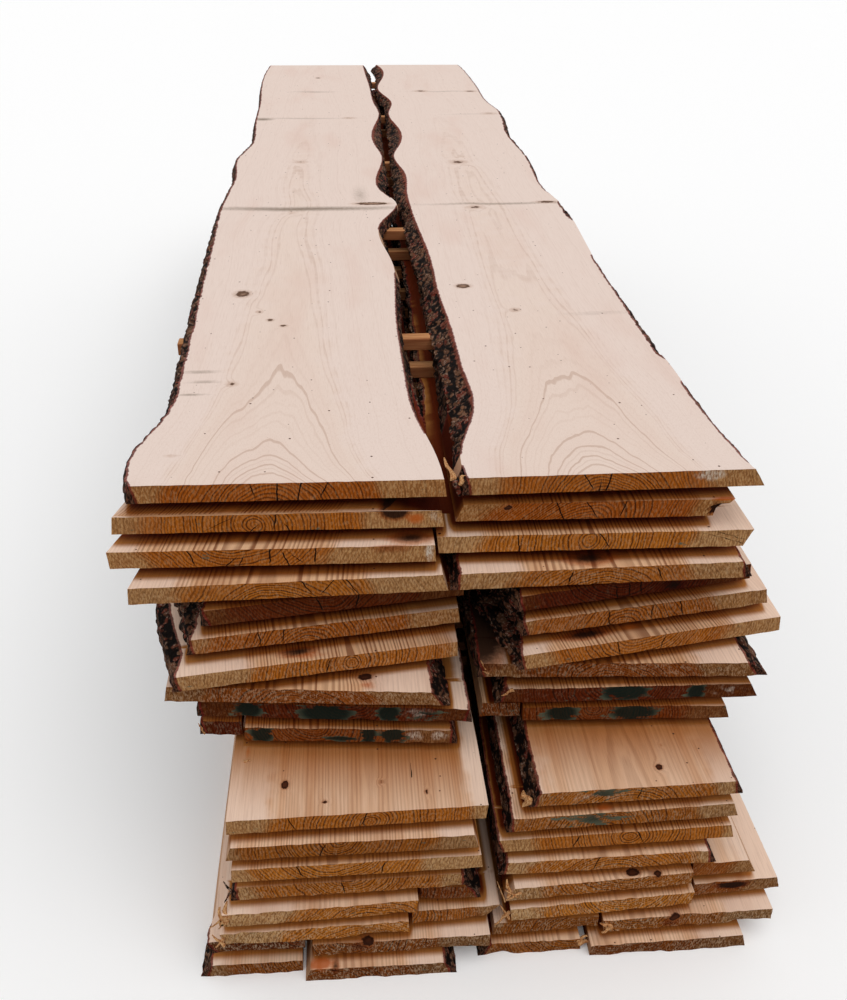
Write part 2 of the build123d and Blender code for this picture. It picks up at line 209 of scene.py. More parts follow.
marks = by_board({
    "01_left": {
        "knot": ((-.362, .83, .03, .018, .022, .04, .8), (-.296, .673, .03, .009, .009, .04, .7),
                 (-.32, .72, .03, .008, .01, .04, .6), (-.268, .64, .03, .009, .008, .04, .7),
                 (-.275, 1.462, .03, .02, .02, .04, .4), (-.265, 2.045, .03, .03, .022, .04, .5),
                 (-.225, 3.637, .03, .012, .012, .04, .8), (-.103, 2.74, .03, .034, .022, .04, .5),
                 (-.349, .361, .03, .011, .013, .04, .6), (-.422, .094, .03, .013, .006, .04, .5),
                 (-.06, 1.55, .03, .046, .014, .04, .9)),
        "stain": ((-.245, 1.505, .03, .24, .018, .04, .9), (-.09, 1.64, .03, .022, .09, .04, .5),
                  (-.28, 2.735, .03, .19, .014, .04, .5), (-.42, 2.72, .03, .035, .022, .04, .9),
                  (-.24, 3.29, .03, .09, .022, .04, .5), (-.41, .416, .03, .03, .006, .04, .8),
                  (-.4, .372, .03, .026, .005, .04, .8), (-.417, .318, .03, .028, .005, .04, .7))},
    "01_right": {
        "knot": ((.117, .861, .03, .016, .014, .04, .9), (.21, .706, .03, .013, .013, .04, .6),
                 (.22, 1.5, .03, .026, .02, .04, .6), (.427, 1.545, .03, .034, .014, .04, .7),
                 (.229, 2.027, .03, .032, .03, .04, .6), (.43, 2.81, .03, .04, .03, .04, .5),
                 (.413, 3.29, .03, .03, .022, .04, .6), (.205, 3.3, .03, .032, .024, .04, .6)),
        "stain": ((.29, 1.532, .03, .2, .011, .04, .7), (.3, 3.29, .03, .15, .013, .04, .5),
                  (.35, 2.8, .03, .12, .012, .04, .4), (.38, .673, .03, .08, .012, .04, .4)),
        "resin": ((.409, 0, .022, .022, .003, .008, -.8),)},
    "02_left": {
        # Painted shade: the dark of a notch in the top front edge, not cut in the mesh, and of the strip
        # behind it under the board above.
        "stain": ((-.079, 0, .031, .015, .05, .0105, 1.7), (-.058, .028, .031, .026, .016, .008, 1.7)),
        "resin": ((-.018, 0, .018, .01, .003, .01, -.6), (-.048, 0, .017, .014, .006, .009, .9))},
    "11_left": {
        "resin": ((-.339, .16, .03, .005, .018, .02, .6),),
        "knot": ((-.272, .075, .03, .006, .009, .02, 1), (-.204, .031, .03, .005, .004, .02, .9),
                 (-.109, .068, .03, .004, .004, .02, .8), (-.034, .039, .03, .003, .006, .02, .9))},
    "02_right": {
        "knot": ((.097, 0, .023, .007, .01, .006, .9),),
        "hole": ((.431, 0, .012, .016, .02, .01, .7),),
        "resin": ((.438, 0, .029, .02, .008, .003, 1), (.393, 0, .026, .008, .002, .005, -.5))},
    "03_left": {
        "stain": ((-.054, .024, .031, .026, .014, .012, .9), (-.085, 0, .027, .024, .004, .005, .7)),
        "resin": ((-.027, 0, .018, .006, .003, .012, -.9),)},
    "03_right": {"knot": ((-.008, .012, .03, .004, .004, .006, .7),)},
    "04_left": {"resin": ((-.225, .022, .03, .022, .006, .01, .4),)},
    "04_right": {
        "stain": ((.234, .031, .03, .032, .016, .012, .9),),
        "resin": ((.268, .026, .03, .006, .016, .012, .5),)},
    "05_right": {"stain": ((.39, 0, .01, .016, .014, .01, .9),)},
    "07_left": {
        "stain": ((-.24, .027, .03, .024, .01, .01, .9),),
        "resin": ((-.22, .014, .03, .03, .01, .01, .6),)},
    "07_right": {
        "stain": ((.247, .03, .03, .032, .01, .01, 1),),
        "resin": ((.326, .034, .03, .026, .009, .01, .6),)},
    # Painted shadow: the dark over this board's face by its left corner, under the flared bark of the boards
    # above.
    "08_right": {"stain": ((.072, .17, .03, .034, .12, .02, 2),)},
    "08_left": {
        "knot": ((-.131, .038, .03, .015, .01, .012, .8),),
        "resin": ((-.128, .018, .03, .016, .014, .012, .6),)},
    "09_left": {
        "paint": ((-.332, 0, .017, .02, .02, .018, 1), (-.199, 0, .014, .04, .02, .019, 1),
                  (-.092, 0, .016, .017, .02, .016, 1), (-.03, 0, .014, .026, .02, .01, .7)),
        "resin": ((-.048, 0, .022, .022, .002, .008, -.6),)},
    "10_left_inner": {
        "paint": ((-.312, 0, .017, .018, .02, .018, 1), (-.174, 0, .006, .034, .02, .005, .9),
                  (-.085, 0, .016, .02, .02, .017, 1), (-.128, 0, .018, .012, .02, .02, 1)),
        "resin": ((-.045, 0, .016, .016, .002, .01, -.7), (-.006, 0, .018, .012, .002, .009, -.8))},
    "09_right": {
        "paint": ((.325, 0, .018, .038, .02, .017, 1), (.452, 0, .014, .014, .02, .018, 1)),
        "resin": ((.51, 0, .018, .018, .002, .01, -.5),)},
    "10_right_outer": {"paint": ((.219, 0, .016, .024, .02, .017, 1), (.349, 0, .016, .036, .02, .018, 1))},
    "11_right": {
        "knot": ((.374, .045, .03, .006, .007, .02, 1), (.39, .098, .03, .003, .004, .02, .7),
                 (.313, .15, .03, .03, .03, .02, .15)),
        "paint": ((.264, 0, .018, .054, .002, .02, .5),),
        "resin": ((.25, 0, .018, .034, .002, .01, -.42),)},
    "12_right": {
        "paint": ((.254, 0, .018, .048, .002, .018, .5),),
        "resin": ((.24, 0, .017, .024, .002, .01, -.42), (.275, .014, .03, .016, .008, .01, .8))},
    "15_right_inner": {
        "knot": ((.342, .014, .026, .012, .009, .016, 1), (.386, .006, .028, .008, .008, .01, .9))},
    "16_right_outer": {"stain": ((.541, 0, .019, .022, .004, .0055, 1.7),)},
    "17_right_outer": {
        "knot": ((.432, 0, .024, .011, .012, .009, 1),),
        "stain": ((.425, 0, .012, .016, .012, .01, .6),)},
    "17_left_inner": {
        "stain": ((-.152, 0, .018, .016, .01, .012, .6),),
        "knot": ((-.139, .004, .028, .012, .012, .01, .9),)},
    "18_left_inner": {
        "resin": ((-.226, .013, .03, .018, .012, .01, 1.1),),
        "stain": ((-.2, .008, .03, .006, .012, .012, .8),)},
})

kinds = ("knot", "stain", "paint", "resin")
hole_deep, hole_fade = 0.016, 0.036

# Bark along the top boards' edges: metres behind the near end, then its
# thickness, on edges where the sawn face shows past it and where it doesn't
bark_runs = {
    ("board_01_left", 0): ((0, .003), (.10, .003), (.30, .006), (.50, .010), (.90, .009), (1.5, .006),
                           (2.0, .003), (2.2, .007), (2.6, .003), (4.2, .003)),
    ("board_01_left", 1): ((0, 0), (.13, 0), (.18, .004), (.60, .005), (.90, .005), (1.00, 0), (1.28, 0),
                           (1.34, .006), (1.50, .008), (1.54, 0), (1.60, 0), (1.64, .010), (4.2, .010)),
    ("board_01_right", 0): ((0, .004), (.02, .009), (.035, .009), (.045, 0), (.07, 0), (.10, .008),
                            (.25, .010), (4.2, .010)),
    ("board_01_right", 1): ((0, .001), (.06, .003), (.30, .004), (.36, 0), (.42, 0), (.46, .007), (.62, .007),
                            (.80, .004), (1.05, .003), (1.10, 0), (1.35, 0), (1.40, .008), (1.50, .009),
                            (1.56, .001), (1.9, .004), (2.1, .004), (2.5, .008), (2.8, .008), (2.9, .002),
                            (4.2, .003)),
}
aisle_edges = (("board_01_left", 1), ("board_01_right", 0))    # the sawn face hides their bark

# How far the bark of a flared edge comes in over the face behind the near end, and how thick it is
bark_caps = by_board({"05_left": (.080, .014), "06_left": (.062, .014), "07_left": (.016, .004),
                      "05_right": (.090, .014), "06_right": (.110, .014), "07_right": (.140, .014),
                      "08_right": (.012, .006)})

# A slab of bark on the right edge, and how wide it shows on the face and end
bark_slabs = {"board_08_right": 0.008}

# Where an edge has lost its bark: from and to, in metres behind the near end
bare_left = {"board_17_left_outer": (0.03, 0.9), "board_18_left_outer": (0.07, 1.1)}

wall_levels = 4
near_length = 0.25       # the stretch behind the near end with a fine mesh
near_step = 0.006
far_step = 0.015
top_step = 0.0055
top_far_step = 0.0085
fine_step = 0.005        # columns of the stretch where the boards show
fine_rows = 12           # rows of that stretch, except on the ledge of layer 11
far_columns = 7
rim_steps = (0.008, 0.028)
middle_steps = (0.36, 0.64)           # shares of the width
bark_nominal = 0.010
thin_bark = 0.001
bare_fade = 0.03         # how long a bare stretch takes to begin and end
relief_most = 0.02
rim_slope = 0.004        # how wide the face goes down to the bark
bark_from, bark_fade = 0.26, 0.30     # how far behind the near end the bark begins, and fills out
edge_depth = 0.028       # how far in from the edge the bark still moves the wood
plate_long, plate_high = 0.030, 0.015 # the size of the bark's plates
aisle_bulge, bulge_from, bulge_fade = 0.0045, 1.2, 0.4
saw_depth, fray_depth, tear_depth = 0.0012, 0.004, 0.014    # how far the saw's roughness goes in
pith_climb, pith_bend = 0.012, 0.010  # the log's middle climbs and bends along the board
knot_lift = 0.012
whorl_wave, whorl_wide = 0.010, 0.07  # marks wider than this waver by that much
shelter_depth = 0.040    # how far in under a board its shade is at its darkest
shelter_blur = 0.006     # how far past the board's sides it reaches
ledge_shade, ledge_depth = 0.33, 0.17    # the shade on layer 11, ahead of the ends above it
swell, swell_length = 0.085, 0.20     # the butt of the top boards' logs spreads towards the near end


def unit(values):
    return np.clip(values, 0, 1)


def smooth_noise(seed, *places):
    """Even noise from -1 to 1 with one hump to each unit of length."""
    points = np.column_stack(places)
    cell = np.floor(points)
    part = points - cell
    part = part * part * (3 - 2 * part)
    total = np.zeros(len(points))
    for corner in itertools.product((0, 1), repeat=points.shape[1]):
        key = (cell + corner) @ np.array((127.1, 311.7, 74.7))[: points.shape[1]] + seed * 17.3
        value = np.sin(key) * 43758.5453 % 1
        weight = np.prod(np.where(np.array(corner) == 1, part, 1 - part), axis=1)
        total += value * weight
    return total * 2 - 1


def plates(points, seed):
    """Cracked plates, one to each unit: height of each plate, and nearness to a crack."""
    cell = np.floor(points)
    nearest = np.full(len(points), 9.0)
    second = np.full(len(points), 9.0)
    height = np.zeros(len(points))
    for corner in itertools.product((-1, 0, 1), repeat=2):
        spot = cell + corner
        jitter_a = np.sin(spot @ np.array((127.1, 311.7)) + seed) * 43758.5453 % 1
        jitter_b = np.sin(spot @ np.array((269.5, 183.3)) + seed) * 43758.5453 % 1
        gap = np.hypot(spot[:, 0] + jitter_a - points[:, 0], spot[:, 1] + jitter_b - points[:, 1])
        closer = gap < nearest
        second = np.where(closer, nearest, np.minimum(second, gap))
        nearest = np.where(closer, gap, nearest)
        height = np.where(closer, (jitter_a + jitter_b) % 1, height)
    return height, second - nearest


def live_edges(node):
    """The CAD board's edges: for each side its near and far y, and x by y above and below."""
    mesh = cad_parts[node].data
    points = np.array([v.co for v in mesh.vertices])
    low, high = points[:, 2].min(), points[:, 2].max()
    edges = []
    middle = (points[:, 0].min() + points[:, 0].max()) / 2
    for side in (-1, 1):
        wall = {i for p in mesh.polygons if p.normal.x * side > 0.3 for i in p.vertices
                if (points[i, 0] - middle) * side > 0}
        wall = points[sorted(wall)]
        chains = []
        for level in (low, high):
            chain = wall[abs(wall[:, 2] - level) < 0.001]
            chains.append(chain[np.argsort(chain[:, 1])])
        near = min(chain[0, 1] for chain in chains)
        far = max(chain[-1, 1] for chain in chains)
        edges.append((near, far, chains[0], chains[1]))
    return low, high, edges


def unit_board(columns, rows, fine, fine_cuts):
    """A board of unit size: its upper face, walls drawn down from it and a plain lower face."""
    bm = bmesh.new()
    bmesh.ops.create_grid(bm, x_segments=columns, y_segments=rows, size=0.5)
    bmesh.ops.translate(bm, verts=bm.verts, vec=(0.5, 0.5, 1.0))
    last_fine = (fine + 0.5) / rows
    across = [e for e in bm.edges
              if abs(e.verts[0].co.y - e.verts[1].co.y) < 1e-6
              and (e.verts[0].co.y < last_fine or e.verts[0].co.y > 1 - 0.5 / rows)]
    bmesh.ops.subdivide_edges(bm, edges=across, cuts=fine_cuts, use_grid_fill=True)
    rim = [e for e in bm.edges if e.is_boundary]
    for _ in range(wall_levels):
        made = bmesh.ops.extrude_edge_only(bm, edges=rim)["geom"]
        lower = [v for v in made if isinstance(v, bmesh.types.BMVert)]
        bmesh.ops.translate(bm, verts=lower, vec=(0, 0, -1 / wall_levels))
        rim = [e for e in made if isinstance(e, bmesh.types.BMEdge)
               and all(v in set(lower) for v in e.verts)]
        rim = [e for e in rim if e.is_boundary]
    bmesh.ops.contextual_create(bm, geom=rim)
    bmesh.ops.recalc_face_normals(bm, faces=bm.faces)
    for face in bm.faces:
        centre = face.calc_center_median()
        if min(centre.x, 1 - centre.x) < 1e-5:
            face.material_index = 2
        elif min(centre.y, 1 - centre.y) < 1e-5:
            face.material_index = 1
    mesh = bpy.data.meshes.new("board")
    bm.to_mesh(mesh)
    bm.free()
    return mesh


def make_board(node, index, slots):
    look = Look(*board_looks[node])
    low, high, edges = live_edges(node)
    width = edges[1][3][:, 0].mean() - edges[0][3][:, 0].mean()
    top = node.startswith("board_01")
    length = edges[0][1] - edges[0][0]
    near_rows = round(near_length / near_step)
    rows = near_rows + round((length - near_length) / (top_far_step if top else far_step))
    fine = near_rows - 6 if node.startswith("board_11") else fine_rows
    columns = round(width / top_step) if top else far_columns
    mesh = unit_board(columns, rows, fine, 1 if top else round(width / columns / fine_step))
    co = np.zeros(len(mesh.vertices) * 3)
    mesh.vertices.foreach_get("co", co)
    u, v, w = co.reshape(-1, 3).T
    behind = unit((v * rows - fine) / 2)
    if not top:
        rims = np.array(rim_steps) / width
        places = np.concatenate(([0], rims, middle_steps, 1 - rims[::-1], [1]))
        u = (1 - behind) * u + behind * np.interp(u, np.linspace(0, 1, far_columns + 1), places)
    row = v * rows
    along = np.where(row < near_rows, row * near_length / near_rows,
                     near_length + (row - near_rows) * (length - near_length) / (rows - near_rows)) / length
    sides = []
    for near, far, lower, upper in edges:
        y = near + along * (far - near)
        x = (1 - w) * np.interp(y, lower[:, 1], lower[:, 0]) + w * np.interp(y, upper[:, 1], upper[:, 0])
        sides.append((x, y))
    (left, left_y), (right, right_y) = sides
    x = left + u * (right - left)
    y = left_y + u * (right_y - left_y)
    back = y - (edges[0][0] + u * (edges[1][0] - edges[0][0]))
    z = low + w * (high - low)

    # Bark: plates that stand out from the wood, gone in some stretches
    right_half = u > 0.5
    side_seed = index * 2 + right_half
    inside = np.where(right_half, right - x, x - left)
    cover = unit(smooth_noise(3, y * 2.3 + side_seed * 5.7, y * 0 + 0.5) * 2.4 + 2.0)
    fade = unit((back - bark_from) / bark_fade)
    bark = np.where(right_half, look.bark_right, look.bark_left) * (1 - fade) + bark_nominal * cover * fade
    face_bark = np.maximum(np.minimum(bark, thin_bark), bark_nominal * fade)
    face_bark = np.maximum(face_bark, bark_slabs.get(node, 0) * right_half)
    missing = unit(bark_nominal * fade - bark)
    if node in bare_left:
        start, stop = bare_left[node]
        gone = ~right_half * unit((back - start) / bare_fade) * unit((stop - back) / bare_fade)
        bark, face_bark = bark * (1 - gone), face_bark * (1 - gone)
        missing = np.maximum(missing, bark_nominal * gone)
    rim_relief = np.ones(len(x))
    for (owner, side), run in bark_runs.items():
        own = (right_half == side) & (owner == node)
        run_bark = np.interp(back, *zip(*run))
        shown = run_bark * ((owner, side) not in aisle_edges)
        bark = np.where(own, run_bark, bark)
        face_bark = np.where(own, shown, face_bark)
        missing = np.where(own, 0, missing)
        rim_relief = np.where(own & (shown == 0), 0.15, rim_relief)
        if (owner, side) in aisle_edges:
            bulge = aisle_bulge * np.sin(np.pi * w) * unit((back - bulge_from) / bulge_fade)
            x = x + own * (inside < 1e-5) * bulge * (2 * side - 1)
    if node in bark_caps:
        most, thick = bark_caps[node]
        flare = np.clip(edges[0][3][0, 0] - left, 0, most) * (back > 0.004)
        bark = np.where(right_half, bark, np.maximum(bark, np.minimum(flare, thick)))
        face_bark = np.where(right_half, face_bark, np.maximum(face_bark, 1.4 * flare))
    height, crack = plates(np.column_stack((y / plate_long + side_seed * 13.1,
                                            z / plate_high + inside / 0.02 + y / 0.11)), 5)
    grain = smooth_noise(7, y / 0.011, z / 0.009, x / 0.02)
    lumps = 0.55 * height + 0.45 * unit(1 - crack / 0.3)
    relief = (bark * lumps + 0.0015 * grain * (bark > thin_bark)) * np.where(w > 0.99, rim_relief, 1)
    shift = missing + np.clip(relief, 0, relief_most)
    x = x + np.where(right_half, -1, 1) * unit(1 - inside / edge_depth) * shift
    sunk = unit((face_bark - inside) / rim_slope) * (w > 0.99) * (bark > thin_bark)
    z = z - sunk * (thin_bark + 0.45 * np.minimum(bark, 0.012) * lumps)
    barked = unit(bark / 0.002)
    under_bark = barked * (inside - face_bark - 0.012 * (1 - w)) + (1 - barked) * 0.02

    # The saw left the ends rough, and some are torn
    end = v < 1e-5
    fray = smooth_noise(index, x / 0.014, z / 0.010, y * 0) * 0.5 + 0.5
    tear = unit(smooth_noise(index + 60, x / 0.05, z / 0.05, y * 0) - 0.2)
    y = y + end * (saw_depth * fray + look.ragged * (fray_depth * fray + tear_depth * tear * (1 - 0.6 * w)))

    # Where each point lay in its log: across, up and along
    pith = left * (1 - look.pith_share) + right * look.pith_share
    bend = smooth_noise(11, y * 0.9 + index * 3.1, y * 0 + 0.5)
    butt = top * swell * (1 - np.exp(-np.maximum(back, 0) / swell_length))
    rise = pith_climb * (y - edges[0][0]) + pith_bend * bend + butt
    log = np.column_stack((x - pith + 0.012 * bend, z - low - look.pith_rise + rise, y + index * 7.7))
    wavy = whorl_wave * smooth_noise(index + 30, x * 14, y * 0.5)
    across = x - middle
    y, spots = mark_spots(node, across, y, z - low, back, wavy, log)
    crack_turn, crack_open = crack_places(node, across, w)
    share, start, stop = browned_and_shaded.get(node, (0, 0, 1))
    streak = smooth_noise(index + 90, across / 0.010, y / 0.5)
    in_sun = (right_half == ("_right" in node)) * np.maximum(behind, 1 - w)
    # Painted shade: this darkens the upper face of layer 11 below the layers above, on top of its brown
    # streaks.
    brown_and_shade = share * unit(np.minimum(across - start, stop - across) / 0.03) * (0.6 + 0.4 * streak)
    mesh.vertices.foreach_set("co", np.column_stack((x, y, z)).ravel())
    mesh.update()
    add_attribute(mesh, "log_place", "FLOAT_VECTOR", "vector", log)
    add_attribute(mesh, "under_bark", "FLOAT", "value", under_bark)
    add_attribute(mesh, "wear", "FLOAT_COLOR", "color", np.column_stack([spots[kind] for kind in kinds]))
    # Painted shade under the boards above, with layer 11's brown streaks, is kept in the third channel of the
    # cracks attribute.
    painted_shade_and_browning = np.maximum(shelter(node, x, y) * (1 - in_sun), brown_and_shade)
    add_attribute(mesh, "cracks", "FLOAT_VECTOR", "vector", np.column_stack((crack_turn, crack_open, painted_shade_and_browning)))
    add_attribute(mesh, "board_look", "FLOAT_COLOR", "color",
                  np.tile((look.warmth, look.speckle, look.clear, look.shade), (len(x), 1)))
    mesh.shade_smooth()
    mesh.set_sharp_from_angle(angle=math.radians(38))
    board = add_object(node + "_wood", mesh, slots)
    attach(board, "root")
    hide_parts(node)


def mark_spots(node, across, y, up, back, wavy, log):
    """How strong each kind of mark is. A hole draws the end in, and a knot lifts the rings of the log."""
    spots = {kind: np.zeros(len(y)) for kind in kinds}
    rows = [(kind, Mark(*row)) for kind, group in marks.get(node, {}).items() for row in group]
    for kind, mark in rows:
        off = back - mark.back + wavy * (mark.wide > whorl_wide)
        away = np.sqrt(((across - mark.x) / mark.wide) ** 2 + (off * (kind != "hole") / mark.deep) ** 2
                       + ((up - mark.up) / mark.high) ** 2)
        if kind == "hole":
            hollow = mark.strength * unit(2.4 * (1 - away))
            y = y + hollow * hole_deep * unit(1 - back / hole_fade)
            # Painted shade: the hollow of a hole is darkened in the colour.
            spots["stain"] = np.maximum(spots["stain"], 2 * hollow * (back < 2 * hole_deep))
            continue
        spot = mark.strength * unit(1 - away / 2)
        spots[kind] = np.where(abs(spot) > abs(spots[kind]), spot, spots[kind])
        if kind == "knot":
            log[:, 1] += knot_lift * mark.strength * np.exp(-(away / 1.6) ** 2)
    return y, spots


def crack_places(node, across, w):
    """The nearest crack's number plus how far off it lies, and how open it is at that height."""
    nearest, crack_turn, crack_open = np.full(len(w), 9.0), np.full(len(w), 0.5), np.zeros(len(w))
    for turn, (at, lean, foot, tip) in enumerate(cracks.get(node, ())):
        gap = across - at - lean * (w - 0.5)
        closer = abs(gap) < nearest
        nearest = np.where(closer, abs(gap), nearest)
        crack_turn = np.where(closer, turn + np.clip(gap / crack_reach, -0.5, 0.5), crack_turn)
        opened = unit((w - foot) / 0.2 + 1) * unit((tip - w) / 0.2 + 1)
        crack_open = np.where(closer, opened, crack_open)
    return crack_turn, crack_open


def shelter(node, x, y):
    """How well the boards above keep each point from the sun, from 0 to 1."""
    above = f"board_{int(node.split('_')[1]) - 1:02d}"
    under = np.zeros(len(x))
    for other in board_looks:
        if other.startswith(above):
            left, right = (edge[2][0] for edge in live_edges(other)[2])
            beside = np.maximum(np.maximum(left[0] - x, x - right[0]), 0)
            near = np.interp(x, (left[0], right[0]), (left[1], right[1]))
            shade = unit((y - near) / shelter_depth)
            if node.startswith("board_11"):
                shade = np.maximum(shade, ledge_shade * unit(1 - (near - y) / ledge_depth))
            under = np.maximum(under, shade * np.exp(-(beside / shelter_blur) ** 2))
    return under


def add_attribute(mesh, name, kind, field, values):
    layer = mesh.attributes.new(name, kind, "POINT")
    layer.data.foreach_set(field, np.ascontiguousarray(values, dtype=np.float32).ravel())


def tone(red, green, blue):
    """A colour as a screen shows it, 0 to 255, as the shader wants it."""
    def linear(c):
        c /= 255
        return c / 12.92 if c <= 0.04045 else ((c + 0.055) / 1.055) ** 2.4
    return (linear(red), linear(green), linear(blue), 1.0)


class Weave:
    """Adds the nodes of one material or world and joins them as it goes."""

    def __init__(self, owner, shader="Principled BSDF"):
        self.owner = owner
        owner.use_nodes = True
        self.tree = owner.node_tree
        self.shader = self.tree.nodes[shader]

    def put(self, socket, value):
        if isinstance(value, bpy.types.NodeSocket):
            self.tree.links.new(value, socket)
        elif value is not None:
            socket.default_value = value

    def node(self, kind, values, **settings):
        made = self.tree.nodes.new("ShaderNode" + kind)
        for name, value in settings.items():
            setattr(made, name, value)
        for key, value in values.items():
            self.put(made.inputs[key], value)
        return made

    def math(self, operation, a, b=None, c=None, clamp=False):
        made = self.node("Math", {0: a, 1: b, 2: c}, operation=operation, use_clamp=clamp)
        return made.outputs[0]

    def plus(self, a, b):
        return self.math("ADD", a, b)

    def times(self, a, b):
        return self.math("MULTIPLY", a, b)

    def spread(self, value, size, start):
        return self.math("MULTIPLY_ADD", value, size, start)

    def inverse(self, share):
        return self.math("SUBTRACT", 1.0, share)

    def vector(self, operation, a, b=None):
        made = self.node("VectorMath", {0: a, 1: b}, operation=operation)
        return made.outputs["Value" if operation == "LENGTH" else "Vector"]

    def scaled(self, a, b):
        return self.vector("MULTIPLY", a, b)

    def step(self, value, low, high):
        """0 below low, 1 above high and smooth between."""
        made = self.node("MapRange", {"Value": value, "From Min": low, "From Max": high},
                         interpolation_type="SMOOTHSTEP")
        return made.outputs["Result"]

    def mix(self, share, a, b, blend="MIX"):
        made = self.node("Mix", {"Factor": share}, data_type="RGBA", blend_type=blend)
        self.put(made.inputs[6], a)
        self.put(made.inputs[7], b)
        return made.outputs[2]

    def tint(self, colour, value, low, high, share, other):
        """The colour, turned towards the other by up to share where value is high."""
        return self.mix(self.times(self.step(value, low, high), share), colour, other)

    def noise(self, vector, scale, detail=2.0, rough=0.5, output="Fac"):
        made = self.node("TexNoise", {"Vector": vector, "Scale": scale, "Detail": detail, "Roughness": rough})
        return made.outputs[output]

    def attribute(self, name, output="Vector"):
        return self.node("Attribute", {}, attribute_name=name).outputs[output]

    def part(self, vector, axis):
        return self.node("SeparateXYZ", {0: vector}).outputs[axis]

    def finish(self, colour, height, roughness=0.85, specular=0.08):
        bump = self.node("Bump", {"Height": height, "Distance": bump_depth, "Strength": 0.7})
        for socket, value in (("Base Color", colour), ("Normal", bump.outputs["Normal"]),
                              ("Roughness", roughness), ("Specular IOR Level", specular)):
            self.put(self.shader.inputs[socket], value)
        return self.owner


ring_width = 0.0056
heart_radius = 0.168
heart_fade = 0.014       # over how much of the radius the heartwood ends
bump_depth = 0.0006


def rings(w, log):
    """Growth rings about the log's middle: late wood, heartwood and broad dark bands."""
    stretched = w.scaled(log, (1.0, 1.0, 0.06))
    sway = w.vector("SUBTRACT", w.noise(stretched, 14.0, 3.0, 0.5, output="Color"), (0.5, 0.5, 0.5))
    bent = w.vector("ADD", log, w.scaled(sway, (0.026, 0.026, 0.0)))
    radius = w.vector("LENGTH", w.scaled(bent, (1.0, 1.0, 0.0)))
    uneven = w.node("TexNoise", {"W": radius, "Scale": 45.0, "Detail": 1.0}, noise_dimensions="1D")
    count = w.plus(w.math("DIVIDE", radius, ring_width), w.times(uneven.outputs["Fac"], 1.2))
    share = w.math("FRACT", count)
    late = w.times(w.step(share, 0.32, 0.70), w.inverse(w.step(share, 0.88, 1.0)))
    strength = w.node("TexWhiteNoise", {"W": w.math("FLOOR", count)}, noise_dimensions="1D")
    late = w.times(late, w.spread(strength.outputs["Value"], 0.6, 0.4))
    border = w.plus(radius, w.spread(w.noise(log, 30.0, 2.0), 0.04, -0.02))
    heart = w.inverse(w.step(border, heart_radius - heart_fade, heart_radius + heart_fade))
    return late, heart, w.step(uneven.outputs["Fac"], 0.42, 0.62)


def bark_look(w, place):
    """Colour and height of bark: dark flakes with pale tips."""
    along = w.scaled(place, (1.0, 0.6, 1.2))
    twist = w.noise(along, 60.0, 1.0, 0.6, output="Color")
    twisted = w.vector("ADD", along, w.scaled(twist, (0.05, 0.05, 0.05)))
    flakes = w.node("TexVoronoi", {"Vector": twisted, "Scale": 62.0}, feature="F1")
    flake = w.part(flakes.outputs["Color"], 0)
    rough = w.noise(place, 200.0, 2.0, 0.75)
    colour = w.mix(flake, tone(58, 33, 22), tone(116, 80, 58))
    colour = w.tint(colour, w.part(flakes.outputs["Color"], 1), 0.6, 0.9, 0.7, tone(104, 36, 26))
    colour = w.tint(colour, rough, 0.54, 0.66, 0.75, tone(162, 138, 122))
    colour = w.mix(w.step(flakes.outputs["Distance"], 0.34, 0.66), colour, tone(13, 6, 4))
    height = w.math("SUBTRACT", w.times(rough, 0.6), flakes.outputs["Distance"])
    return colour, height


def in_shade(w, colour):
    """The colour, darker where the board above keeps the sun off."""
    # The third channel of the cracks attribute holds the painted shade.
    under = w.part(w.attribute("cracks"), 2)
    for start, full, shadow in ((0.0, 0.4, tone(188, 141, 81)), (0.35, 1.0, tone(148, 90, 65))):
        colour = w.mix(w.step(under, start, full), colour, w.mix(1.0, colour, shadow, "MULTIPLY"))
    return colour


